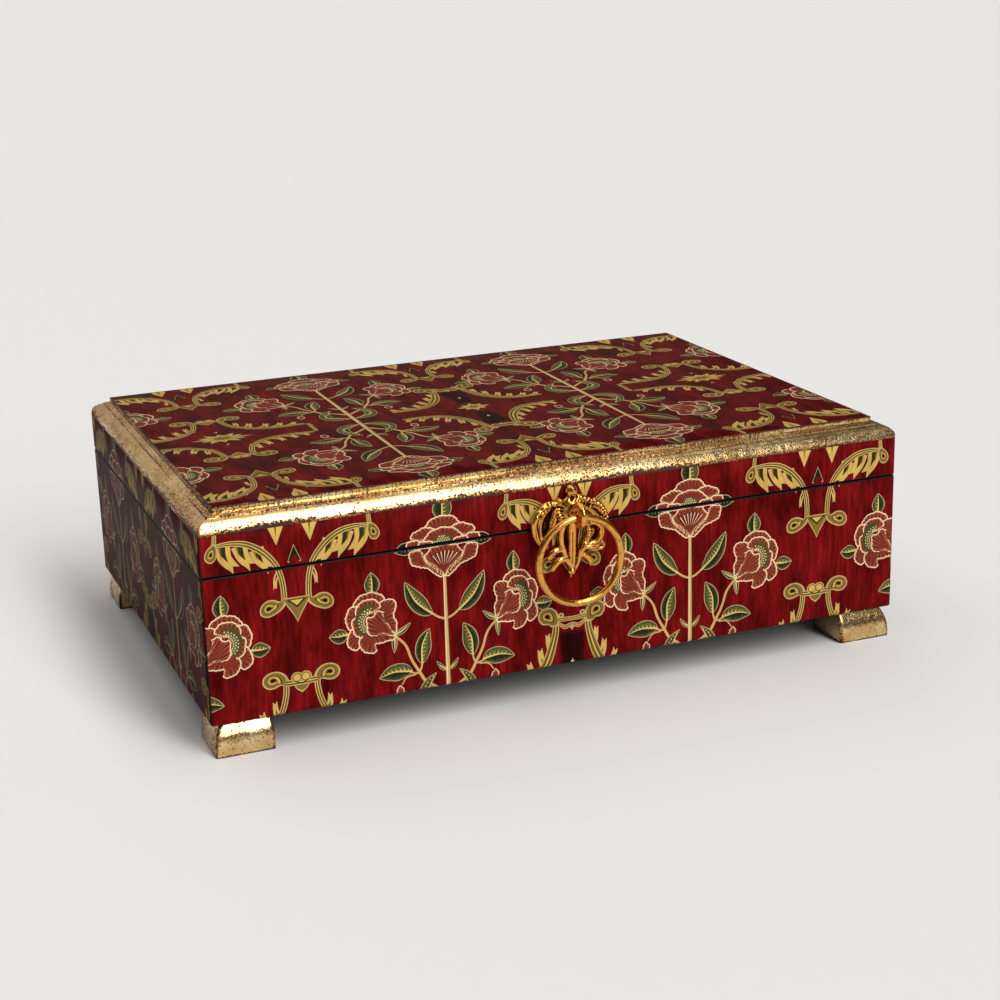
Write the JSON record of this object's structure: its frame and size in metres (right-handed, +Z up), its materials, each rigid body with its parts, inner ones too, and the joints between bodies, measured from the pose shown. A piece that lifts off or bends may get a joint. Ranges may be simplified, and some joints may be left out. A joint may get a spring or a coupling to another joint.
{
  "type": "lidded keepsake box",
  "caption": "Rectangular hinged wooden box covered with printed paper, with a gilt-moulded framed lid, gilt block feet and a cast ring pull on the lid's front.",
  "frame": {"origin": "on the surface the feet stand on, under the middle of the whole box with its pull and hinges", "axes": "+X along the front to the right, +Y to the back, +Z up"},
  "size_m": [0.305, 0.2308, 0.0986],
  "materials": {
    "papered_board": "fibreboard under printed paper and clear lacquer, edges stained black",
    "black_board": "stained black, satin",
    "gilt_wood": "metal leaf over red bole, rubbed",
    "gilt_casting": "antique gold, cast",
    "brass": "satin",
    "steel": "plated",
    "felt": "thin glued felt"
  },
  "bodies": {
    "case": {"case_front": "papered_board", "case_back": "papered_board", "case_left": "papered_board", "case_right": "papered_board", "case_bottom": "black_board", "floor_lining": "felt", "foot_front_left": "gilt_wood", "foot_front_right": "gilt_wood", "foot_rear_left": "gilt_wood", "foot_rear_right": "gilt_wood", "foot_screws": "steel", "hinge_left_case_leaf": "brass", "hinge_right_case_leaf": "brass", "hinge_left_pin": "brass", "hinge_right_pin": "brass", "hinge_screws_case": "brass"},
    "lid": {"lid_front": "papered_board", "lid_back": "papered_board", "lid_left": "papered_board", "lid_right": "papered_board", "moulding_front": "gilt_wood", "moulding_back": "gilt_wood", "moulding_left": "gilt_wood", "moulding_right": "gilt_wood", "lid_panel": "papered_board", "hinge_left_lid_leaf": "brass", "hinge_right_lid_leaf": "brass", "hinge_screws_lid": "brass", "pull_ornament": "gilt_casting", "pull_screw": "steel", "pull_washer": "steel"},
    "ring": {"pull_ring": "gilt_casting"}
  },
  "joints": [
    {"name": "lid_hinge", "type": "hinge", "parent": "case", "child": "lid", "pos_m": [0, 0.11248, 0.07355], "axis": [-1, 0, 0], "range_deg": [0, 95]},
    {"name": "ring_swing", "type": "hinge", "parent": "lid", "child": "ring", "pos_m": [-0.0008, -0.10982, 0.0791], "axis": [-1, 0, 0], "range_deg": [0, 100]}
  ]
}
